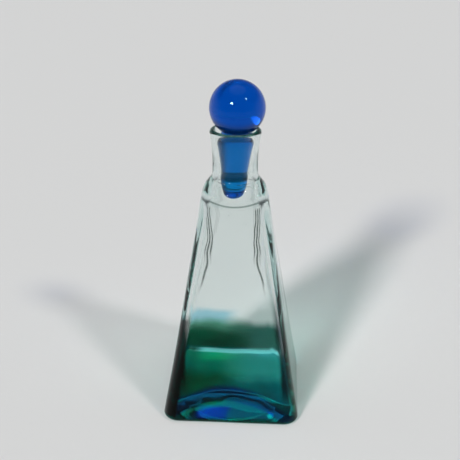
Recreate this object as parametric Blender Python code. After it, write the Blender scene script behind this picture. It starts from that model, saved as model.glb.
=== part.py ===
"""A hand-made glass decanter: a four-sided bottle that narrows to a round neck, and a ball stopper.

The bottle stands on z = 0 with its front to -Y. It is one thick shell: the outside, the lip, the bore
and the hollow inside are one closed skin. The stopper is a solid ball on a tapered plug.
Sizes are in metres.
"""

import math

import bmesh
import bpy
from mathutils import Matrix, Vector

# The outside of the bottle
BASE_WIDTH = 0.1026  # across two opposite sides, taken down to the ground
SIDE_HEIGHT = 0.1615  # of the four sides, up to the shoulder
SIDE_HOLLOW = 0.0006  # the middle of each side lies this far inside a straight taper
FOOT_ROUND = 0.0035  # of the lowest edge, all round
EDGE_RADIUS_FOOT = 0.0115  # of the four upright edges
EDGE_RADIUS_TOP = 0.0160
SHOULDER_DIAMETER = 0.0506
SHOULDER_KNEE = 0.0095  # height above the sides at which the shoulder turns in and is round
SHOULDER_RISE = 0.0190  # from the top of the sides to the foot of the neck
KNEE_SHARE = 0.4  # of the shoulder's slope, taken up by the curve into it
FILLET_SHARE = 0.8  # where along that slope the neck's hollow curve begins
NECK_DIAMETER = 0.0332
NECK_LENGTH = 0.0341  # from its foot to the top of the lip
NECK_FILLET = 0.0022  # height of the hollow curve above the neck's foot
FLARE_HEIGHT = 0.0220  # of the neck's curve out to the lip
LIP_DIAMETER = 0.0374
PUNT_DIAMETER = 0.0800  # of the shallow dome under the bottle
PUNT_DEPTH = 0.0030

# The inside of the bottle
SEAT_DIAMETER = 0.0262  # of the bore, where the plug sits
SEAT_DEPTH = 0.0091  # of the seat below the top of the lip
MOUTH_FLARE = 0.0009  # on each side, from the seat up to the mouth
BORE_DIAMETER = 0.0218  # at its lower end
BORE_RISE = 0.0035  # from the neck's foot up to the bore's lower end
BORE_BEND = 0.0040  # height of the bend in which the bore opens out under the shoulder
THROAT_DIAMETER = 0.0326  # of the round throat inside the shoulder
THROAT_DROP = 0.0070  # from the neck's foot down to the throat's full width
THROAT_END = 0.0148  # from the neck's foot down to the throat's lower end
THROAT_BEND = 0.0030  # height of the bend in which the throat opens into the hollow
HOLLOW_DROP = 0.0205  # from the neck's foot down to the top of the hollow's walls
HOLLOW_WIDTH_TOP = 0.0376
HOLLOW_WALL = 0.0050  # of glass beside the floor, at the height of its front edge
HOLLOW_EDGE_FOOT = 0.0060  # radius of the hollow's four upright edges
HOLLOW_EDGE_TOP = 0.0090
HOLLOW_ROUNDING_POWER = 12  # the higher, the higher up the hollow turns round
FLOOR_FRONT = 0.0240  # height of the floor at the middle of the front
FLOOR_BACK = 0.0085
FLOOR_ARCH = 0.0120  # fall of the floor's front edge towards its corners
FLOOR_FILLET = 0.0040

# The stopper
BALL_DIAMETER = 0.0401
BALL_GAP = 0.0017  # between the ball and the rounded lip
BALL_OFFSET = 0.0012  # the ball sits this far off the plug's axis, to +X
STEM_DIAMETER = 0.0224  # of the waist between the ball and the plug
PLUG_SHOULDER = 0.0030  # height of the rounded shoulder above the seat
PLUG_BEND = 0.0235  # from the seat down to where the cone turns straight
PLUG_TAPER = 0.0305  # from the seat down to the straight end
PLUG_DIAMETER = 0.0184  # of the straight end
PLUG_END = 0.0132  # length of the straight end
PLUG_ROUND = 0.0050
PLUG_LEAN = 0.0012  # the plug's lower end is this far off its axis, to -X
SEAT_CLEARANCE = 0.0003

# How finely the curves are cut
EDGE_STEPS = 6
SIDE_STEPS = 4
WALL_STEPS = 9
CURVE_STEPS = 6
BALL_STEPS = 18
SETTLE_ROUNDS = 4
CENTRE_SHARE = 0.12  # size of the small face that closes a floor or a dome
ROUNDING_POWER = 8  # the higher, the higher up the square sides turn round
QUARTER_TURN = math.pi / 2
SMOOTH_ANGLE = math.radians(50)

BASE_HALF = BASE_WIDTH / 2
SHOULDER_RADIUS = SHOULDER_DIAMETER / 2
NECK_RADIUS = NECK_DIAMETER / 2
LIP_RADIUS = LIP_DIAMETER / 2
SEAT_RADIUS = SEAT_DIAMETER / 2
MOUTH_RADIUS = SEAT_RADIUS + MOUTH_FLARE
BORE_RADIUS = BORE_DIAMETER / 2
THROAT_RADIUS = THROAT_DIAMETER / 2
HOLLOW_HALF_TOP = HOLLOW_WIDTH_TOP / 2
KNEE_HEIGHT = SIDE_HEIGHT + SHOULDER_KNEE
NECK_FOOT = SIDE_HEIGHT + SHOULDER_RISE
LIP_TOP = NECK_FOOT + NECK_LENGTH
LIP_ROUND = (LIP_RADIUS - MOUTH_RADIUS) / 2
LIP_CENTRE = LIP_TOP - LIP_ROUND
SEAT_HEIGHT = LIP_TOP - SEAT_DEPTH
BORE_END = NECK_FOOT + BORE_RISE
HOLLOW_TOP = NECK_FOOT - HOLLOW_DROP

CLEAR_GLASS = (0.62, 0.80, 0.76)
BLUE_GLASS = (0.0, 0.10, 0.42)


def clear_scene():
    for item in list(bpy.data.objects):
        bpy.data.objects.remove(item, do_unlink=True)


def glass(name, colour):
    """Polished glass of one colour."""
    material = bpy.data.materials.new(name)
    material.use_nodes = True
    shader = material.node_tree.nodes["Principled BSDF"]
    shader.inputs["Base Color"].default_value = (*colour, 1)
    shader.inputs["Roughness"].default_value = 0.02
    shader.inputs["Metallic"].default_value = 0
    shader.inputs["Transmission Weight"].default_value = 1
    material.diffuse_color = (*colour, 1)
    return material


def blend(first, second, share):
    return first * (1 - share) + second * share


def between(first, second, share):
    """Point of (half width, height) on the line between two others."""
    return tuple(blend(a, b, share) for a, b in zip(first, second))


def line(start, end, steps):
    return [between(start, end, step / steps) for step in range(steps + 1)]


def curve(start, control, end, steps):
    """Points on a curve that leaves start towards control and reaches end from it."""
    near = line(start, control, steps)
    far = line(control, end, steps)
    return [between(near[step], far[step], step / steps) for step in range(steps + 1)]


def arc(centre, radius, first_angle, last_angle, steps):
    """Points round centre, with angles counted from the outward direction upwards."""
    angles = [blend(first_angle, last_angle, step / steps) for step in range(steps + 1)]
    return [(centre[0] + radius * math.cos(a), centre[1] + radius * math.sin(a)) for a in angles]


def section(half_width, edge_radius, roundness):
    """Level outline of a square with rounded edges, which becomes a circle as roundness nears 1."""
    reach = half_width - edge_radius
    steps = EDGE_STEPS + SIDE_STEPS
    first_angle = QUARTER_TURN / 2 - QUARTER_TURN * EDGE_STEPS / steps / 2
    points = []
    for quarter in range(4):
        turn = Matrix.Rotation(quarter * QUARTER_TURN, 2)
        for step in range(steps):
            angle = QUARTER_TURN * min(step / EDGE_STEPS, 1)
            along_side = max(step - EDGE_STEPS, 0) / SIDE_STEPS
            corner = Vector((blend(reach, -reach, along_side), reach))
            square = corner + edge_radius * Vector((math.cos(angle), math.sin(angle)))
            angle = first_angle + QUARTER_TURN * step / steps
            circle = half_width * Vector((math.cos(angle), math.sin(angle)))
            points.append(turn @ square.lerp(circle, roundness))
    return points


def ring(points, height):
    return [Vector((x, y, height)) for x, y in points]


def round_ring(radius, height):
    return ring(section(radius, radius, 1), height)


def side_half_width(height):
    """Half the width across the four sides, which are very slightly hollow."""
    share = height / SIDE_HEIGHT
    return blend(BASE_HALF, SHOULDER_RADIUS, share) - SIDE_HOLLOW * 4 * share * (1 - share)


def outer_ring(half_width, height):
    """The outside at one height. Its upright edges grow rounder until the shoulder is a circle."""
    edge_radius = blend(EDGE_RADIUS_FOOT, EDGE_RADIUS_TOP, min(height / SIDE_HEIGHT, 1))
    if height < FOOT_ROUND:
        edge_radius -= side_half_width(FOOT_ROUND) - half_width
    roundness = min(height / KNEE_HEIGHT, 1) ** ROUNDING_POWER
    return ring(section(half_width, edge_radius, roundness), height)


def underside_rings():
    """From the middle of the shallow dome under the bottle to the flat ring that it stands on."""
    rings = []
    for step in range(CURVE_STEPS + 1):
        share = blend(CENTRE_SHARE, 1, step / CURVE_STEPS)
        rings.append(round_ring(share * PUNT_DIAMETER / 2, PUNT_DEPTH * (1 - share**2)))
    return rings


def outside_profile():
    """From the flat under the foot up the sides, the shoulder and the neck, and over the lip."""
    foot_centre = (side_half_width(FOOT_ROUND) - FOOT_ROUND, FOOT_ROUND)
    foot = arc(foot_centre, FOOT_ROUND, -QUARTER_TURN, 0, CURVE_STEPS)
    heights = [blend(FOOT_ROUND, SIDE_HEIGHT, (step + 1) / WALL_STEPS) for step in range(WALL_STEPS)]
    sides = [(side_half_width(height), height) for height in heights]
    knee = (side_half_width(KNEE_HEIGHT), KNEE_HEIGHT)
    neck_foot = (NECK_RADIUS, NECK_FOOT)
    slope_start = between(knee, neck_foot, KNEE_SHARE)
    slope_end = between(knee, neck_foot, FILLET_SHARE)
    neck_start = (NECK_RADIUS, NECK_FOOT + NECK_FILLET)
    shoulder = curve(sides[-1], knee, slope_start, CURVE_STEPS)
    fillet = curve(slope_end, neck_foot, neck_start, CURVE_STEPS)
    flare_foot = (NECK_RADIUS, LIP_CENTRE - FLARE_HEIGHT)
    flare_bend = (NECK_RADIUS, LIP_CENTRE - FLARE_HEIGHT / 2)
    flare = curve(flare_foot, flare_bend, (LIP_RADIUS, LIP_CENTRE), CURVE_STEPS)
    lip = arc((LIP_RADIUS - LIP_ROUND, LIP_CENTRE), LIP_ROUND, 0, 2 * QUARTER_TURN, 2 * CURVE_STEPS)
    return foot + sides + shoulder[1:] + fillet + flare + lip[1:]


def bore_profile():
    """From below the mouth down the bore, out into the throat and on to the top of the hollow."""
    seat = (SEAT_RADIUS, SEAT_HEIGHT)
    mouth = curve((MOUTH_RADIUS, LIP_CENTRE), (SEAT_RADIUS, LIP_CENTRE), seat, CURVE_STEPS)
    bore = line(seat, (BORE_RADIUS, BORE_END), 2)
    bend = (BORE_RADIUS, BORE_END - BORE_BEND)
    throat_top = (THROAT_RADIUS, NECK_FOOT - THROAT_DROP)
    slope_middle = between(bend, throat_top, 1 / 2)
    opening = curve(bore[-1], bend, slope_middle, CURVE_STEPS)
    throat_foot = (THROAT_RADIUS, NECK_FOOT - THROAT_END)
    throat = curve(slope_middle, throat_top, throat_foot, CURVE_STEPS)
    roof_foot = (THROAT_RADIUS, throat_foot[1] - THROAT_BEND)
    roof = curve(throat_foot, roof_foot, (HOLLOW_HALF_TOP, HOLLOW_TOP), CURVE_STEPS)
    return mouth[1:] + bore[1:] + opening[1:] + throat[1:] + roof[1:]


def hollow_share(height):
    """0 at the height of the floor's front edge, and 1 where the hollow's walls end."""
    return (height - FLOOR_FRONT) / (HOLLOW_TOP - FLOOR_FRONT)


def hollow_half_width(height):
    floor_half = side_half_width(FLOOR_FRONT) - HOLLOW_WALL
    return blend(floor_half, HOLLOW_HALF_TOP, hollow_share(height))


def hollow_section(height):
    """Outline of the hollow, which is square at the floor and round under the throat."""
    share = hollow_share(height)
    edge_radius = blend(HOLLOW_EDGE_FOOT, HOLLOW_EDGE_TOP, share)
    roundness = max(share, 0) ** HOLLOW_ROUNDING_POWER
    return section(hollow_half_width(height), edge_radius, roundness)


def on_floor(x, y):
    """The floor is thick and arched at the front, and thin and level at the back."""
    half = hollow_half_width(FLOOR_FRONT)
    front_share = (1 - y / half) / 2
    crest = FLOOR_FRONT - FLOOR_BACK - FLOOR_ARCH * (x / half) ** 2
    return Vector((x, y, FLOOR_BACK + front_share * crest))


def wall_feet():
    """The line where the hollow's walls meet its floor. Each foot settles to the floor's height."""
    heights = [FLOOR_FRONT] * len(hollow_section(FLOOR_FRONT))
    for _ in range(SETTLE_ROUNDS):
        feet = [on_floor(*hollow_section(height)[i]) for i, height in enumerate(heights)]
        heights = [foot.z for foot in feet]
    return feet


def hollow_rings():
    """The hollow's walls from their top down, the fillet round the floor, and the floor."""
    rings = []
    lowest = FLOOR_FRONT + 2 * FLOOR_FILLET
    for step in range(WALL_STEPS):
        height = blend(HOLLOW_TOP, lowest, (step + 1) / WALL_STEPS)
        rings.append(ring(hollow_section(height), height))
    feet = wall_feet()
    heights = [foot.z + FLOOR_FILLET for foot in feet]
    above = [Vector((*hollow_section(height)[i], height)) for i, height in enumerate(heights)]
    inside = [on_floor(*(foot.xy * (1 - FLOOR_FILLET / foot.xy.length))) for foot in feet]
    fillets = [curve(*corner, CURVE_STEPS) for corner in zip(above, feet, inside)]
    rings += [[Vector(fillet[step]) for fillet in fillets] for step in range(CURVE_STEPS + 1)]
    for step in range(CURVE_STEPS):
        share = blend(1, CENTRE_SHARE, (step + 1) / CURVE_STEPS)
        rings.append([on_floor(*(point.xy * share)) for point in inside])
    return rings


def loft(name, rings, material):
    """One closed body over rings with equal counts of points, from the middle of its underside."""
    mesh = bmesh.new()
    loops = [[mesh.verts.new(point) for point in points] for points in rings]
    mesh.faces.new(reversed(loops[0]))
    for loop, following in zip(loops, loops[1:]):
        for i in range(len(loop)):
            mesh.faces.new((loop[i - 1], loop[i], following[i], following[i - 1]))
    mesh.faces.new(loops[-1])
    data = bpy.data.meshes.new(name)
    mesh.to_mesh(data)
    mesh.free()
    data.materials.append(material)
    data.shade_smooth()
    data.set_sharp_from_angle(angle=SMOOTH_ANGLE)
    item = bpy.data.objects.new(name, data)
    bpy.context.scene.collection.objects.link(item)


def make_bottle():
    """The bottle's whole skin, from under its foot over the lip to the middle of its floor."""
    rings = underside_rings()
    rings += [outer_ring(half_width, height) for half_width, height in outside_profile()]
    rings += [round_ring(radius, height) for radius, height in bore_profile()]
    rings += hollow_rings()
    loft("bottle", rings, glass("clear_glass", CLEAR_GLASS))


def plug_profile():
    """From the plug's rounded end up its straight part, its cone and its shoulder to the stem."""
    radius = PLUG_DIAMETER / 2
    seat = (SEAT_RADIUS - SEAT_CLEARANCE, SEAT_HEIGHT)
    end_height = SEAT_HEIGHT - PLUG_TAPER - PLUG_END
    end_centre = (radius - PLUG_ROUND, end_height + PLUG_ROUND)
    end = arc(end_centre, PLUG_ROUND, -QUARTER_TURN, 0, CURVE_STEPS)
    cone_foot = (radius, SEAT_HEIGHT - PLUG_TAPER)
    cone = curve(cone_foot, (radius, SEAT_HEIGHT - PLUG_BEND), seat, CURVE_STEPS)
    stem_foot = (STEM_DIAMETER / 2, SEAT_HEIGHT + PLUG_SHOULDER)
    shoulder = curve(seat, (seat[0], stem_foot[1]), stem_foot, CURVE_STEPS)
    return end + cone + shoulder[1:]


def ball_profile():
    """The ball from the top of the stem to its crown. It sits in the lip with an even gap."""
    radius = BALL_DIAMETER / 2
    lip_middle = LIP_RADIUS - LIP_ROUND
    height = LIP_CENTRE + math.sqrt((radius + BALL_GAP + LIP_ROUND) ** 2 - lip_middle**2)
    first_angle = -math.acos(STEM_DIAMETER / BALL_DIAMETER)
    last_angle = math.acos(CENTRE_SHARE)
    return arc((0, height), radius, first_angle, last_angle, BALL_STEPS)


def make_stopper():
    """The solid stopper. It leans a little about its seat: the plug to one side, the ball to the other."""
    rings = []
    for radius, height in plug_profile():
        depth_share = max(SEAT_HEIGHT - height, 0) / (PLUG_TAPER + PLUG_END)
        lean = Vector((-PLUG_LEAN * depth_share, 0, 0))
        rings.append([point + lean for point in round_ring(radius, height)])
    offset = Vector((BALL_OFFSET, 0, 0))
    for radius, height in ball_profile():
        rings.append([point + offset for point in round_ring(radius, height)])
    loft("ball_stopper", rings, glass("blue_glass", BLUE_GLASS))


clear_scene()
make_bottle()
make_stopper()
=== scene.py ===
import math
import random

import bmesh
import bpy
from mathutils import Euler, Matrix, Vector, noise


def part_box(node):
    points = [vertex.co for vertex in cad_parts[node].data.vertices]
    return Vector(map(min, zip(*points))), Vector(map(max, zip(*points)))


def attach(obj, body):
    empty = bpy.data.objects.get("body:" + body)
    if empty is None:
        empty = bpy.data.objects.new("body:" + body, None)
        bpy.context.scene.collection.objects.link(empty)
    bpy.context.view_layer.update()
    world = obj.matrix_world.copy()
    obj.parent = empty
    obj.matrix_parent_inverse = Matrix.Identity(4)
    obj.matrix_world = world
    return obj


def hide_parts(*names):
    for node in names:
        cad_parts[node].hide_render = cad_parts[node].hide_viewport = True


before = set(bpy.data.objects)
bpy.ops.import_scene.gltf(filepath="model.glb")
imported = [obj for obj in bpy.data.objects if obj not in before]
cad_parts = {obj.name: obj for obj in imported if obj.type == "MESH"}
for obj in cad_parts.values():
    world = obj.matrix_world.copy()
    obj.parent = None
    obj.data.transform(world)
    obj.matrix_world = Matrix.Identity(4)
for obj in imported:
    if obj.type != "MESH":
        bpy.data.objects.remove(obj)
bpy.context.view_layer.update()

# The outside of the bottle: thick clear glass, gathered on a pipe, pressed square in a mould and
# drawn out round at the neck. Its sides are slightly hollow and never quite even.
_, bottle_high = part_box("bottle")
lip_top = bottle_high.z
base_half = 0.0513  # of the four sides, taken down to the ground
side_height = 0.1615
side_hollow = 0.0006  # the middle of each side lies this far inside a straight taper
foot_round = 0.0035  # of the lowest edge, all round
edge_radius_foot = 0.0115  # of the four upright edges
edge_radius_top = 0.0160
shoulder_radius = 0.0253
knee_rise = 0.0095  # above the sides, where the shoulder turns in and is round
shoulder_rise = 0.0190  # from the top of the sides to the foot of the neck
neck_radius = 0.0166
neck_fillet = 0.0022
knee_share = 0.4  # of the shoulder's slope, taken up by the curve into it
fillet_share = 0.8  # where along that slope the fillet of the neck begins
flare_height = 0.0220
lip_radius = 0.0187
mouth_radius = 0.0140
punt_radius = 0.0400  # of the shallow dome under the bottle
punt_depth = 0.0030
outside_unevenness = 0.00035
outside_grain = (0.024, 0.040)  # width and height of one wave
edge_steps = 12  # faces round an upright edge
side_steps = 12  # faces across a side
wall_steps = 44  # rings up a wall
curve_steps = 12  # rings in a curve
disc_steps = 2 * curve_steps  # rings in a dome or a floor
rounding_power = 8  # the higher, the later the square sides turn round
centre_share = 0.02  # size of the small face that closes a floor or a dome
quarter_turn = math.pi / 2
knee_height = side_height + knee_rise
neck_foot = side_height + shoulder_rise
lip_round = (lip_radius - mouth_radius) / 2
lip_centre = lip_top - lip_round


def blend(first, second, share):
    return first * (1 - share) + second * share


def between(first, second, share):
    """Point of (half width, height) on the line between two others."""
    return tuple(blend(a, b, share) for a, b in zip(first, second))


def line(start, end, steps):
    return [between(start, end, step / steps) for step in range(steps + 1)]


def curve(start, control, end, steps):
    """Points on a curve that leaves start towards control and reaches end from it."""
    near = line(start, control, steps)
    far = line(control, end, steps)
    return [between(near[step], far[step], step / steps) for step in range(steps + 1)]


def arc(centre, radius, first_angle, last_angle, steps):
    """Points round centre, with angles counted from the outward direction upwards."""
    angles = [blend(first_angle, last_angle, step / steps) for step in range(steps + 1)]
    return [(centre[0] + radius * math.cos(a), centre[1] + radius * math.sin(a)) for a in angles]


def section(half_width, edge_radius, roundness):
    """Level outline of a square with rounded edges, which becomes a circle as roundness nears 1."""
    reach = half_width - edge_radius
    steps = edge_steps + side_steps
    first_angle = quarter_turn / 2 - quarter_turn * edge_steps / steps / 2
    points = []
    for quarter in range(4):
        turn = Matrix.Rotation(quarter * quarter_turn, 2)
        for step in range(steps):
            angle = quarter_turn * min(step / edge_steps, 1)
            along_side = max(step - edge_steps, 0) / side_steps
            corner = Vector((blend(reach, -reach, along_side), reach))
            square = corner + edge_radius * Vector((math.cos(angle), math.sin(angle)))
            angle = first_angle + quarter_turn * step / steps
            circle = half_width * Vector((math.cos(angle), math.sin(angle)))
            points.append(turn @ square.lerp(circle, roundness))
    return points


def uneven(points, depth, grain):
    """Draws each point in towards the axis by up to depth, in soft waves of the size of grain."""
    moved = []
    for x, y, z in points:
        place = Vector((x / grain[0], y / grain[0], z / grain[1]))
        share = (1 + noise.noise(place)) / 2
        reach = math.hypot(x, y)
        scale = 1 - depth * share / reach
        moved.append(Vector((x * scale, y * scale, z)))
    return moved


def ring(points, height):
    return [Vector((x, y, height)) for x, y in points]


def round_ring(radius, height):
    return ring(section(radius, radius, 1), height)


def side_half_width(height):
    """Half the width across two sides, which are hollow by side_hollow halfway up."""
    share = height / side_height
    return blend(base_half, shoulder_radius, share) - side_hollow * 4 * share * (1 - share)


def outer_ring(half_width, height):
    """The outside at one height. Its upright edges grow rounder until the shoulder is a circle."""
    edge_radius = blend(edge_radius_foot, edge_radius_top, min(height / side_height, 1))
    if height < foot_round:
        edge_radius -= side_half_width(foot_round) - half_width
    roundness = min(height / knee_height, 1) ** rounding_power
    return ring(section(half_width, edge_radius, roundness), height)


underside = []
for step in range(disc_steps + 1):
    share = blend(centre_share, 1, step / disc_steps)
    underside.append(round_ring(share * punt_radius, punt_depth * (1 - share**2)))
foot_centre = (side_half_width(foot_round) - foot_round, foot_round)
foot = arc(foot_centre, foot_round, -quarter_turn, 0, curve_steps)
rises = [(step + 1) / wall_steps for step in range(wall_steps)]
side_heights = [blend(foot_round, side_height, rise) for rise in rises]
sides = [(side_half_width(height), height) for height in side_heights]
knee = (side_half_width(knee_height), knee_height)
neck_corner = (neck_radius, neck_foot)
slope_start = between(knee, neck_corner, knee_share)
slope_end = between(knee, neck_corner, fillet_share)
shoulder = curve(sides[-1], knee, slope_start, curve_steps)
slope = line(slope_start, slope_end, curve_steps // 2)
fillet = curve(slope_end, neck_corner, (neck_radius, neck_foot + neck_fillet), curve_steps)
flare_foot = (neck_radius, lip_centre - flare_height)
flare_bend = (neck_radius, lip_centre - flare_height / 2)
flare = curve(flare_foot, flare_bend, (lip_radius, lip_centre), curve_steps)
lip = arc((lip_radius - lip_round, lip_centre), lip_round, 0, 2 * quarter_turn, 2 * curve_steps)
outside_profile = foot + sides + shoulder[1:] + slope[1:] + fillet[1:] + flare + lip[1:]
outside = []
for half_width, height in outside_profile:
    even = outer_ring(half_width, height)
    outside.append(uneven(even, outside_unevenness, outside_grain))

# The inside of the bottle: the bore that the plug sits in, and the blown hollow. Its walls run
# down in soft upright folds to a thick floor, which rises in an arch at the front and is thin at
# the back.
seat_radius = 0.0131
seat_depth = 0.0091  # of the seat below the top of the lip
bore_radius = 0.0109  # where the bore ends
bore_rise = 0.0035  # of the bore's end above the foot of the neck
bore_bend = 0.0040
throat_radius = 0.0163
throat_drop = 0.0070  # of the throat below the foot of the neck
throat_end_drop = 0.0148
throat_bend = 0.0030
hollow_drop = 0.0205  # of the hollow's top below the foot of the neck
hollow_radius = 0.0188
hollow_wall = 0.0050  # of glass beside the floor, at the height of its front edge
hollow_edge_foot = 0.0060  # radius of the hollow's four upright edges
hollow_edge_top = 0.0090
hollow_rounding_power = 12
floor_front = 0.0240  # height of the floor, in the middle of its front edge
floor_back = 0.0085
floor_arch = 0.0120  # fall of the front edge from its middle to its ends
floor_fillet = 0.0040
settle_rounds = 6  # until the walls' feet lie on the floor
fold_depth = 0.0007
fold_grain = (0.008, 0.060)  # width and height of one fold
floor_wave = 0.0007
floor_grain = 0.019
seat_height = lip_top - seat_depth
bore_end = neck_foot + bore_rise
throat_height = neck_foot - throat_drop
throat_end = neck_foot - throat_end_drop
hollow_top = neck_foot - hollow_drop


def hollow_share(height):
    """0 at the height of the floor's front edge, and 1 where the hollow's walls end."""
    return (height - floor_front) / (hollow_top - floor_front)


def hollow_half_width(height):
    floor_half = side_half_width(floor_front) - hollow_wall
    return blend(floor_half, hollow_radius, hollow_share(height))


def hollow_section(height):
    """Outline of the hollow, which is square at the floor and round under its narrow top."""
    share = hollow_share(height)
    edge_radius = blend(hollow_edge_foot, hollow_edge_top, share)
    return section(hollow_half_width(height), edge_radius, max(share, 0) ** hollow_rounding_power)


def on_floor(x, y):
    """The floor is thick and arched at the front, thin and level at the back, and wavy all over."""
    half = hollow_half_width(floor_front)
    front_share = (1 - y / half) / 2
    crest = floor_front - floor_back - floor_arch * (x / half) ** 2
    wave = floor_wave * noise.noise(Vector((x / floor_grain, y / floor_grain, 0)))
    return Vector((x, y, floor_back + front_share * crest + wave))


seat = (seat_radius, seat_height)
mouth = curve((mouth_radius, lip_centre), (seat_radius, lip_centre), seat, curve_steps)
cone = line(seat, (bore_radius, bore_end), curve_steps)
bend = (bore_radius, bore_end - bore_bend)
throat = (throat_radius, throat_height)
slope_middle = between(bend, throat, 1 / 2)
opening = curve(cone[-1], bend, slope_middle, curve_steps)
throat_foot = (throat_radius, throat_end)
roof_foot = (throat_radius, throat_end - throat_bend)
top = curve(slope_middle, throat, throat_foot, curve_steps)
top += curve(throat_foot, roof_foot, (hollow_radius, hollow_top), curve_steps)[1:]
bore = [round_ring(radius, height) for radius, height in mouth[1:] + cone[1:] + opening[1:]]
hollow = [uneven(round_ring(*place), fold_depth, fold_grain) for place in top[1:]]
lowest = floor_front + 2 * floor_fillet
for rise in rises:
    height = blend(hollow_top, lowest, rise)
    hollow.append(uneven(ring(hollow_section(height), height), fold_depth, fold_grain))
foot_heights = [floor_front] * len(hollow[0])
for _ in range(settle_rounds):
    wall_feet = [on_floor(*hollow_section(height)[i]) for i, height in enumerate(foot_heights)]
    foot_heights = [wall_foot.z for wall_foot in wall_feet]
above = []
for i, height in enumerate(foot_heights):
    above.append(Vector((*hollow_section(height + floor_fillet)[i], height + floor_fillet)))
inside = []
for wall_foot in wall_feet:
    inside.append(on_floor(*(wall_foot.xy * (1 - floor_fillet / wall_foot.xy.length))))
above = uneven(above, fold_depth, fold_grain)
fillets = [curve(*turn, curve_steps) for turn in zip(above, wall_feet, inside)]
hollow += [[Vector(points[step]) for points in fillets] for step in range(curve_steps + 1)]
for step in range(disc_steps):
    share = blend(1, centre_share, (step + 1) / disc_steps)
    hollow.append([on_floor(*(point.xy * share)) for point in inside])


def loft(mesh, rings):
    """One closed skin over rings with equal counts of points, from the middle of its underside."""
    loops = [[mesh.verts.new(point) for point in points] for points in rings]
    mesh.faces.new(reversed(loops[0]))
    for loop, following in zip(loops, loops[1:]):
        for i in range(len(loop)):
            mesh.faces.new((loop[i - 1], loop[i], following[i], following[i - 1]))
    mesh.faces.new(loops[-1])


bottle_mesh = bmesh.new()
loft(bottle_mesh, underside + outside + bore + hollow)

# The seeds: small air bubbles caught in the glass, most of them near the foot. Each is a closed
# hole in the glass, so its faces point into it.
seed_count = 70
seed_sizes = (0.00015, 0.00045)  # smallest and largest radius
seed_size_power = 3  # the higher, the more of them are small
seed_reach = 0.9  # of the sides' height
seed_crowding = 1.6  # the higher, the more of them lie near the foot
seed_margin_share = 0.2  # nearest a seed comes to either face of the wall
seed_roundness = 2  # subdivisions of its skin
first_draw = 5
chance = random.Random(first_draw)
for _ in range(seed_count):
    step = int(chance.random() ** seed_crowding * len(sides) * seed_reach) + curve_steps
    i = chance.randrange(len(outside[0]))
    skin = outside[step][i]
    height = max(skin.z, floor_front)
    inner = Vector((*hollow_section(height)[i], skin.z))
    depth = blend(seed_margin_share, 1 - seed_margin_share, chance.random())
    middle = Matrix.Translation(skin.lerp(inner, depth))
    radius = blend(*seed_sizes, chance.random() ** seed_size_power)
    made = bmesh.ops.create_icosphere(
        bottle_mesh, subdivisions=seed_roundness, radius=radius, matrix=middle
    )
    seed_faces = {face for vertex in made["verts"] for face in vertex.link_faces}
    bmesh.ops.reverse_faces(bottle_mesh, faces=list(seed_faces))

# The bottle's glass: clear with a faint grey-green body, and a pool of green and blue glass that
# was gathered into the foot. The pool is deep green at the back and teal and blue at the front.
# Its upper limit is uneven, with a thin haze of sky blue above it on one side.


class Socket:
    """A shader node's output. Arithmetic on it adds Math nodes to the same material."""

    # A Mix node has sockets for each kind of value, and these are its sockets for colours.
    mix_mask, mix_under, mix_over, mix_result = 0, 6, 7, 2

    def __init__(self, tree, output=None):
        self.tree = tree
        self.output = output

    def node(self, kind, settings, inputs, output=0):
        """A new node: its settings by name, then values or links for its sockets."""
        node = self.tree.nodes.new(kind)
        for name, value in settings.items():
            setattr(node, name, value)
        for socket, value in inputs.items():
            if isinstance(value, Socket):
                self.tree.links.new(value.output, node.inputs[socket])
            else:
                node.inputs[socket].default_value = value
        return Socket(self.tree, node.outputs[output])

    def feed(self, shader, socket):
        self.tree.links.new(self.output, shader.inputs[socket])

    def math(self, operation, *values):
        return self.node("ShaderNodeMath", {"operation": operation}, dict(enumerate(values)))

    def __add__(self, other):
        return self.math("ADD", self, other)

    def __radd__(self, other):
        return self.math("ADD", other, self)

    def __sub__(self, other):
        return self.math("SUBTRACT", self, other)

    def __rsub__(self, other):
        return self.math("SUBTRACT", other, self)

    def __mul__(self, other):
        return self.math("MULTIPLY", self, other)

    def __rmul__(self, other):
        return self.math("MULTIPLY", other, self)

    def __abs__(self):
        return self.math("ABSOLUTE", self)

    def axis(self, index):
        """One part of a place or a direction: 0 is to the right, 1 is back and 2 is up."""
        return self.node("ShaderNodeSeparateXYZ", {}, {"Vector": self}, index)

    def noise(self, scale, detail):
        """Soft cloud over a place, from 0 to 1, with about scale swells to the metre."""
        inputs = {"Vector": self, "Scale": scale, "Detail": detail}
        return self.node("ShaderNodeTexNoise", {}, inputs)

    def step(self, start, end):
        """0 at start and 1 at end, with a soft slope between."""
        settings = {"interpolation_type": "SMOOTHSTEP"}
        inputs = {"Value": self, "From Min": start, "From Max": end}
        return self.node("ShaderNodeMapRange", settings, inputs)

    def paint(self, under, over):
        """The colour under, with over laid on where this mask is 1."""
        under, over = [c if isinstance(c, Socket) else (*c, 1) for c in (under, over)]
        inputs = {self.mix_mask: self, self.mix_under: under, self.mix_over: over}
        return self.node("ShaderNodeMix", {"data_type": "RGBA"}, inputs, self.mix_result)


def new_glass(name, constants):
    """A material with the given constants on its shader, the shader, and the place on the piece."""
    material = bpy.data.materials.new(name)
    material.use_nodes = True
    tree = material.node_tree
    shader = tree.nodes["Principled BSDF"]
    for socket, value in constants.items():
        shader.inputs[socket].default_value = value
    return material, shader, Socket(tree).node("ShaderNodeTexCoord", {}, {}, "Object")


def soak(material, colour, density):
    """Even colour in the thickness of the glass."""
    inputs = {"Color": (*colour, 1), "Density": density}
    absorption = Socket(material.node_tree).node("ShaderNodeVolumeAbsorption", {}, inputs)
    absorption.feed(material.node_tree.nodes["Material Output"], "Volume")


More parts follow.
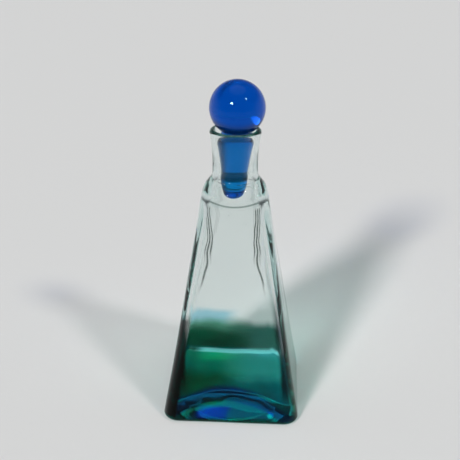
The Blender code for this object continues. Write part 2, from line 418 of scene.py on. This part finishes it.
def shine_through(material, shader, tint):
    """Light of the lamps goes on through the glass, tinted at each face, and doesn't stop there."""
    tree = Socket(material.node_tree)
    lamp_ray = tree.node("ShaderNodeLightPath", {}, {}, "Is Shadow Ray")
    passed = tree.node("ShaderNodeBsdfTransparent", {}, {"Color": (*tint, 1)})
    seen = Socket(material.node_tree, shader.outputs[0])
    mixed = tree.node("ShaderNodeMixShader", {}, {0: lamp_ray, 1: seen, 2: passed})
    mixed.feed(material.node_tree.nodes["Material Output"], "Surface")


def glass_piece(name, mesh, material, body, node):
    """The finished object, smooth but for its real creases, in place of its CAD solid."""
    data = bpy.data.meshes.new(name)
    mesh.to_mesh(data)
    mesh.free()
    data.materials.append(material)
    data.shade_smooth()
    data.set_sharp_from_angle(angle=crease_angle)
    item = bpy.data.objects.new(name, data)
    bpy.context.scene.collection.objects.link(item)
    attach(item, body)
    if node:
        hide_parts(node)


crease_angle = math.radians(25)
refraction = 1.45
millimetres = 1000  # in these the shaders below count
cloud_scale, cloud_detail = 30, 2
drift_scale, drift_detail = 45, 1
noise_middle = 0.5
clear_glass = {
    "Roughness": 0,
    "IOR": refraction,
    "Transmission Weight": 1,
    "Specular Tint": (0.15, 0.15, 0.15, 1),
}
pooled_glass, pooled_shader, spot = new_glass("pooled_glass", clear_glass)
x, y, z = [spot.axis(index) * millimetres for index in range(3)]
flat = abs(spot.node("ShaderNodeTexCoord", {}, {}, "Normal").axis(2))
cloud = spot.noise(cloud_scale, cloud_detail)
drift = spot.noise(drift_scale, drift_detail)
swell = cloud - noise_middle
sway = drift - noise_middle

# The back and the sides of the pool. Here and below, a colour's limits are where it begins and
# where it is full: along z unless they are named for another direction.
light_green = (0.10, 0.34, 0.24)
deep_green = (0.0, 0.075, 0.035)
pale_teal = (0.04, 0.18, 0.15)
pool_tilt = 0.07  # the pool's limit rises to the left by this share
pool_swell = 14
pool_sway = 5
side_sway = 30
deep_limits = (38, 24)
teal_right = (-5, 22)
level = z + pool_tilt * x + pool_swell * swell + pool_sway * sway
rightward = x + side_sway * sway
back_pool = level.step(*deep_limits).paint(light_green, deep_green)
back_pool = rightward.step(*teal_right).paint(back_pool, pale_teal)

# The front of the pool: an arch of blue where the floor meets the front wall, and patches of
# cobalt and turquoise under it.
front_green = (0.0, 0.28, 0.20)
front_teal = (0.0, 0.28, 0.34)
turquoise = (0.0, 0.34, 0.30)
cobalt = (0.0, 0.08, 0.60)
arch_blue = (0.0, 0.05, 0.34)
arch_middle = -3.0
arch_bend = 0.0095  # fall for each square millimetre to the side
arch_swell = 5
front_right = (-25, 30)
patch_lean = 0.006
patch_noise = (0.46, 0.54)
patch_top = (13, 16)
under_arch = (20, 17)
under_arch_left = (-36, -27)
arch_top = (31, 28)
arch_foot = (18, 20)
front_back = (-15, 20)
front_top = (6, 12)
aside = x - arch_middle
arch = z + aside * aside * arch_bend + arch_swell * swell
front = rightward.step(*front_right).paint(front_green, front_teal)
patches = (drift + patch_lean * x).step(*patch_noise).paint(cobalt, turquoise)
patches = arch.step(*patch_top).paint(patches, turquoise)
front = (arch.step(*under_arch) * x.step(*under_arch_left)).paint(front, patches)
front = (arch.step(*arch_top) * arch.step(*arch_foot)).paint(front, arch_blue)
pool = (y.step(*front_back) * z.step(*front_top)).paint(front, back_pool)

# The walls above the pool, and its haze.
clear = (0.97, 0.985, 0.98)
sky_haze = (0.42, 0.74, 0.86)
haze_limits = (52, 44)
haze_left = (5, -15)
pool_limits = (44, 33)
haze = rightward.step(*haze_left).paint(clear, sky_haze)
walls = level.step(*haze_limits).paint(clear, haze)
walls = level.step(*pool_limits).paint(walls, pool)

# The two front corners, with painted shade where the thick glass looks nearly black on the left
# and navy on the right, a painted dark strip of the front beside the left one, and painted
# darker green on the right side.
corner_shade_black = (0.0, 0.0008, 0.0005)
corner_shade_navy = (0.0, 0.012, 0.025)
right_face_shade_green = (0.05, 0.22, 0.14)
corner_taper = 0.322
corner_swell = 2
side_taper = 0.161
front_half = (0, -15)
left_half = (0, -1)
right_half = (0, 1)
left_corner = (91, 93)
left_corner_top = (85, 77)
right_corner = (91.5, 93.5)
right_corner_top = (106, 88)
right_corner_foot = (14, 26)
outermost = (47.5, 49)
strip_left = (-32.5, -34.5)
strip_top = (84, 76)
strip_foot = (22, 36)
side_top = (76, 40)
corners = abs(x) + abs(y) + corner_taper * z + corner_swell * swell
near = y.step(*front_half)
left_corner_shade = corners.step(*left_corner) * near * x.step(*left_half) * z.step(*left_corner_top)
walls = left_corner_shade.paint(walls, corner_shade_black)
right_corner_shade = corners.step(*right_corner) * near * x.step(*right_half)
right_corner_shade = right_corner_shade * z.step(*right_corner_top) * z.step(*right_corner_foot)
walls = right_corner_shade.paint(walls, corner_shade_navy)
front_face = (side_taper * z - y).step(*outermost)
left_strip_shade = front_face * x.step(*strip_left) * z.step(*strip_top) * z.step(*strip_foot)
walls = left_strip_shade.paint(walls, corner_shade_black)
right_face = (x + side_taper * z).step(*outermost)
walls = (right_face * z.step(*side_top)).paint(walls, right_face_shade_green)

# The floor of the hollow with a painted glow of green light at its back and a painted highlight
# line along its back edge, and the underside of the foot with painted shade on its rim.
floor_green = (0.0, 0.26, 0.14)
painted_glow_green = (0.0, 0.55, 0.20)
floor_teal = (0.05, 0.33, 0.36)
floor_dark = (0.0, 0.10, 0.06)
under_green = (0.30, 1.0, 0.90)
rim_shade_green = (0.0, 0.06, 0.04)
painted_highlight_line = (0.50, 0.95, 1.0)
painted_glow_back = (18, 30)
painted_glow_right = (-34, -16)
floor_teal_right = (-15, 20)
floor_dark_left = (-26, -38)
sloping = (0.95, 0.8)
slope_front = (0, -25)
underside_limits = (4.5, 3.5)
lying = (0.3, 0.5)
floor_limits = (40, 35)
rim_shade_slope = (0.97, 0.90)
highlight_back = (38.8, 40.4)
highlight_limits = (10.6, 9.6)
highlight_right = (-37, -24)
floor_colour = (y.step(*painted_glow_back) * x.step(*painted_glow_right)).paint(floor_green, painted_glow_green)
floor_colour = rightward.step(*floor_teal_right).paint(floor_colour, floor_teal)
floor_colour = x.step(*floor_dark_left).paint(floor_colour, floor_dark)
floor_colour = (flat.step(*sloping) * y.step(*slope_front)).paint(floor_colour, cobalt)
floor_colour = z.step(*underside_limits).paint(floor_colour, under_green)
colour = (flat.step(*lying) * z.step(*floor_limits)).paint(walls, floor_colour)
colour = (z.step(*underside_limits) * flat.step(*rim_shade_slope)).paint(colour, rim_shade_green)
highlight_line_mask = y.step(*highlight_back) * z.step(*highlight_limits) * x.step(*highlight_right)
colour = highlight_line_mask.paint(colour, painted_highlight_line)

# Painted shade: dark lines along the soft folds that run down inside the four corners, three side
# by side at the top and one below, and a dark line at the crease where the round throat meets the
# square hollow.
fold_shade_grey = (0.05, 0.065, 0.06)
crease_shade_grey = (0.20, 0.26, 0.24)
fold_taper = 0.342
fold_sway = 8
fold_offset = 6
fold_turn = (136, 160)
fold_turn_reach = 12
fold_turn_right = (-5, 5)
fold_turn_loss = 4.5
fold_gap = 2.2
outer_fold = (0.9, 0.2)
outer_fold_foot = (118, 132)
middle_fold = (1.2, 0.3)
fold_inside = (93, 91)
fold_foot = (96, 112)
fold_top = (160, 158)
back_half = (0, 8)
back_fold_loss = 0.7
crease_height = 162.0
crease_width = (0.8, 0.3)
crease_reach = (430, 410)  # square of its distance from the middle
turning = fold_turn_reach - fold_turn_loss * x.step(*fold_turn_right)
across = abs(x) - abs(y) + fold_sway * sway + fold_offset - z.step(*fold_turn) * turning
fold_shade = abs(across - fold_gap).step(*outer_fold) + abs(across + fold_gap).step(*outer_fold)
fold_shade = fold_shade * z.step(*outer_fold_foot) + abs(across).step(*middle_fold)
fold_shade = fold_shade * (abs(x) + abs(y) + fold_taper * z).step(*fold_inside)
fold_shade = fold_shade * z.step(*fold_foot) * z.step(*fold_top)
fold_shade = fold_shade * (1 - back_fold_loss * y.step(*back_half))
colour = fold_shade.paint(colour, fold_shade_grey)
crease_shade = abs(z - crease_height).step(*crease_width) * (x * x + y * y).step(*crease_reach)
colour = crease_shade.paint(colour, crease_shade_grey)
colour.feed(pooled_shader, "Base Color")

# The faint colour in the thickness of the glass, the tint of the light that shines through it
# on to the table, and the ripples of its fire-polished skin.
body_grey = (0.46, 0.74, 0.71)
body_density = 18
shade_grey = (0.52, 0.62, 0.60)
ripples = {"Strength": 0.1, "Distance": 0.0005, "Height": cloud}
spot.node("ShaderNodeBump", {}, ripples).feed(pooled_shader, "Normal")
soak(pooled_glass, body_grey, body_density)
shine_through(pooled_glass, pooled_shader, shade_grey)
glass_piece("blown_bottle", bottle_mesh, pooled_glass, "bottle", "bottle")

# Streaks of cobalt and turquoise glass in the foot. They were laid on the gather and melted into
# the front wall, so they lie just behind its face, and are less clear than the glass round them.
streak_low = 0.0030
streak_top = 0.0210
streak_half = 0.0360
streak_depth = 0.0012  # behind the front face
streak_thickness = 0.0006
streak_rows = 12
streak_columns = 24
streak_rings = []
for row in range(streak_rows + 1):
    height = blend(streak_low, streak_top, row / streak_rows)
    face = streak_depth - side_half_width(height)
    front_edge = line((-streak_half, face), (streak_half, face), streak_columns)
    back_edge = [(side, face + streak_thickness) for side, _ in reversed(front_edge)]
    streak_rings.append(ring(front_edge + back_edge, height))
streak_mesh = bmesh.new()
loft(streak_mesh, streak_rings)

streak_azure = (0.0, 0.32, 0.78)
streak_blue = (0.0, 0.22, 0.60)
streak_green = (0.0, 0.50, 0.30)
painted_glint_white = (0.30, 0.95, 0.95)
cloudy_glass = {"Roughness": 0.4, "IOR": refraction, "Specular IOR Level": 0}
streak_noise_scale = 60
streak_sway = 12
streak_fade = (-20, 14)
green_left = (0, -14)
green_foot = (13, 16)
painted_glint_right, painted_glint_height = 30, 8
painted_glint_spread = (12, 0)  # square of the distance from its middle
streak_left_end = (-28, -20)
streak_right_end = (35, 28)
streak_foot = (3, 7)
streak_bend = 0.0071
streak_arch = (20, 17)
full_cover = 0.26
cover_loss = 0.14
least_share = 0.5
painted_glint_cover = 0.4
streak_glass, streak_shader, spot = new_glass("streak_glass", cloudy_glass)
x, y, z = [spot.axis(index) * millimetres for index in range(3)]
drift = spot.noise(streak_noise_scale, drift_detail)
sideways = x + streak_sway * (drift - noise_middle)
fade = sideways.step(*streak_fade)
# A painted highlight: a pale turquoise glint on the right of the streaks.
painted_glint = (x - painted_glint_right) * (x - painted_glint_right) + (z - painted_glint_height) * (z - painted_glint_height)
painted_glint = painted_glint.step(*painted_glint_spread)
colour = fade.paint(streak_azure, streak_blue)
colour = (sideways.step(*green_left) * z.step(*green_foot)).paint(colour, streak_green)
colour = painted_glint.paint(colour, painted_glint_white)
streaks = x.step(*streak_left_end) * x.step(*streak_right_end) * z.step(*streak_foot)
streaks = streaks * (z + x * x * streak_bend).step(*streak_arch)
cover = streaks * (full_cover - cover_loss * fade) * (least_share + drift) + painted_glint_cover * painted_glint
colour.feed(streak_shader, "Base Color")
cover.feed(streak_shader, "Alpha")
glass_piece("foot_streaks", streak_mesh, streak_glass, "bottle", None)

# The stopper: one piece of solid cobalt glass. A round ball is left on a short stem, and the plug
# under it is turned to a cone that fits the bore, with a straight blunt end.
ball_low, ball_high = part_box("ball_stopper")
ball_radius = 0.02005
ball_offset = (ball_low.x + ball_high.x) / 2
stem_radius = 0.0112
seat_clearance = 0.0003
plug_shoulder = 0.0030  # height of the rounded shoulder above the seat
plug_bend = 0.0235  # from the seat down to where the cone turns straight
plug_taper = 0.0305  # from the seat down to the straight end
plug_radius = 0.0092  # of the straight end
plug_round = 0.0050
plug_end = 0.0132
plug_lean = 0.0012  # the plug's lower end is this far off its axis
end_shares = (0.05, 0.5)  # of the flat end's radius, where it has rings
ball_unevenness = 0.00012
ball_grain = (0.018, 0.018)
ball_steps = 60
plug_seat = (seat_radius - seat_clearance, seat_height)
plug_tip = seat_height - plug_taper - plug_end
end_centre = (plug_radius - plug_round, plug_tip + plug_round)
end_curve = arc(end_centre, plug_round, -quarter_turn, 0, curve_steps)
end_middle = [between((0, plug_tip), end_curve[0], share) for share in end_shares]
straight = line(end_curve[-1], (plug_radius, seat_height - plug_taper), curve_steps)
plug_cone = curve(straight[-1], (plug_radius, seat_height - plug_bend), plug_seat, disc_steps)
stem_foot = (stem_radius, seat_height + plug_shoulder)
plug_top = curve(plug_seat, (plug_seat[0], stem_foot[1]), stem_foot, curve_steps)
plug_profile = end_middle + end_curve + straight[1:] + plug_cone[1:] + plug_top[1:]
stem_angle = -math.acos(stem_radius / ball_radius)
crown_angle = math.acos(centre_share)
ball = arc((0, ball_high.z - ball_radius), ball_radius, stem_angle, crown_angle, ball_steps)
stopper_rings = []
for radius, height in plug_profile:
    depth_share = max(seat_height - height, 0) / (plug_taper + plug_end)
    lean = Vector((-plug_lean * depth_share, 0, 0))
    stopper_rings.append([point + lean for point in round_ring(radius, height)])
for radius, height in ball:
    even = uneven(round_ring(radius, height), ball_unevenness, ball_grain)
    stopper_rings.append([point + Vector((ball_offset, 0, 0)) for point in even])
stopper_mesh = bmesh.new()
loft(stopper_mesh, stopper_rings)

# The stopper's blue: deepest in the ball, with painted shade in dark rings round the plug's lower
# end, a painted dark band where it seats and a painted dark streak down its left side.
ball_blue = (0.0, 0.10, 0.56)
ball_light_blue = (0.0, 0.13, 0.62)
plug_blue = (0.0, 0.185, 0.58)
plug_light_blue = (0.0, 0.21, 0.63)
tip_blue = (0.0, 0.32, 0.78)
ring_shade_blue = (0.0, 0.03, 0.06)
seat_shade_blue = (0.0, 0.04, 0.12)
side_shade_navy = (0.0, 0.05, 0.12)
cloud_range = (0.3, 0.7)
tip_limits = (177, 175)
ball_limits = (204, 212)
shade_band_height = 179.4
shade_band_width = (2.3, 1.4)
shade_ring_heights = (171, 167.6)
shade_ring_width = (0.5, 0.2)
seat_shade_height = 210.5
seat_shade_width = (2.2, 1.4)
side_shade_left = (-3.5, -8)
side_shade_limits = (212, 210)
stopper_soak = (0.0, 0.45, 0.90)
stopper_density = 12
stopper_shade = (0.05, 0.30, 0.60)
solid_glass = {**clear_glass, "Specular Tint": (0.15, 0.3, 0.3, 1)}
cobalt_glass, cobalt_shader, spot = new_glass("cobalt_glass", solid_glass)
x, z = [spot.axis(index) * millimetres for index in (0, 2)]
cloud = spot.noise(cloud_scale, cloud_detail).step(*cloud_range)
ball_colour = cloud.paint(ball_blue, ball_light_blue)
plug_colour = cloud.paint(plug_blue, plug_light_blue)
plug_colour = z.step(*tip_limits).paint(plug_colour, tip_blue)
colour = z.step(*ball_limits).paint(plug_colour, ball_colour)
# Painted shade: a dark band and thin dark rings round the plug's lower end.
rings = abs(z - shade_band_height).step(*shade_band_width)
for shade_ring_height in shade_ring_heights:
    rings = rings + abs(z - shade_ring_height).step(*shade_ring_width)
colour = rings.paint(colour, ring_shade_blue)
# Painted shade: a dark line where the plug seats in the bore, and a dark streak down its left.
colour = abs(z - seat_shade_height).step(*seat_shade_width).paint(colour, seat_shade_blue)
side_shade_streak = x.step(*side_shade_left) * z.step(*side_shade_limits)
colour = side_shade_streak.paint(colour, side_shade_navy)
colour.feed(cobalt_shader, "Base Color")
soak(cobalt_glass, stopper_soak, stopper_density)
shine_through(cobalt_glass, cobalt_shader, stopper_shade)
glass_piece("cobalt_stopper", stopper_mesh, cobalt_glass, "stopper", "ball_stopper")

# The set: a wide pale paper floor under a pale room. The room is dimmer overhead and in front
# of the bottle, so that the glass shows its edges, and a key lamp and a weak fill light it.
floor_radius = 6.0
floor_sides = 96
floor_gap = 0.0002  # under the foot
paper_grey = (0.66, 0.66, 0.655, 1)
paper_roughness = 0.9
floor_mesh = bmesh.new()
bmesh.ops.create_circle(floor_mesh, cap_ends=True, segments=floor_sides, radius=floor_radius)
floor_data = bpy.data.meshes.new("pale_floor")
floor_mesh.to_mesh(floor_data)
floor_mesh.free()
floor = bpy.data.objects.new("pale_floor", floor_data)
bpy.context.scene.collection.objects.link(floor)
floor.location.z = -floor_gap
paper = bpy.data.materials.new("pale_paper")
paper.use_nodes = True
paper_shader = paper.node_tree.nodes["Principled BSDF"]
paper_shader.inputs["Base Color"].default_value = paper_grey
paper_shader.inputs["Roughness"].default_value = paper_roughness
floor_data.materials.append(paper)

wall_grey = (0.62, 0.63, 0.64)
ceiling_grey = (0.07, 0.075, 0.08)
front_grey = (0.10, 0.105, 0.11)
skylight = (0.75, 0.76, 0.77)
ceiling_limits = (0.05, 0.5)
front_limits = (0.1, -0.6)
skylight_limits = (0.86, 0.95)
room = bpy.data.worlds.new("pale_room")
bpy.context.scene.world = room
room.use_nodes = True
background = room.node_tree.nodes["Background"]
direction = Socket(room.node_tree).node("ShaderNodeTexCoord", {}, {}, "Generated")
upward = direction.axis(2)
room_light = upward.step(*ceiling_limits).paint(wall_grey, ceiling_grey)
room_light = direction.axis(1).step(*front_limits).paint(room_light, front_grey)
room_light = upward.step(*skylight_limits).paint(room_light, skylight)
room_light.feed(background, "Color")
background.inputs["Strength"].default_value = 1


def lamp(name, azimuth, elevation, softness, strength):
    """A distant lamp aimed at the bottle. Azimuth 0 is in front, and grows to the left."""
    light = bpy.data.lights.new(name, "SUN")
    light.angle = math.radians(softness)
    light.energy = strength
    item = bpy.data.objects.new(name, light)
    turn = Euler((0, -math.radians(elevation), -math.radians(90 + azimuth))).to_matrix()
    item.rotation_euler = (turn @ Vector((1, 0, 0))).to_track_quat("Z", "Y").to_euler()
    bpy.context.scene.collection.objects.link(item)


lamp("key_lamp", azimuth=26, elevation=30, softness=9, strength=3.4)
lamp("fill_lamp", azimuth=-50, elevation=45, softness=7, strength=1.0)

# The camera stands where the photograph was taken from. It is a little above the bottle, looks
# down at it and is held nearly level.
camera_place = (0.0288, -0.6105, 0.4012)
camera_pitch = 23.4
camera_heading = 3.03
camera_roll = 0.32
photo_width = 460
focal_pixels = 901
sensor_width = 36
glass_bounces = 24
gloss_bounces = 12
camera_data = bpy.data.cameras.new("camera")
camera_data.sensor_width = sensor_width
camera_data.lens = sensor_width * focal_pixels / photo_width
camera = bpy.data.objects.new("camera", camera_data)
camera.location = camera_place
aim = Euler((math.radians(90 - camera_pitch), 0, math.radians(camera_heading))).to_matrix()
camera.rotation_euler = (aim @ Matrix.Rotation(math.radians(camera_roll), 3, "Z")).to_euler()
scene = bpy.context.scene
scene.collection.objects.link(camera)
scene.camera = camera
scene.view_settings.view_transform = "Standard"
scene.cycles.max_bounces = glass_bounces
scene.cycles.transmission_bounces = glass_bounces
scene.cycles.glossy_bounces = gloss_bounces
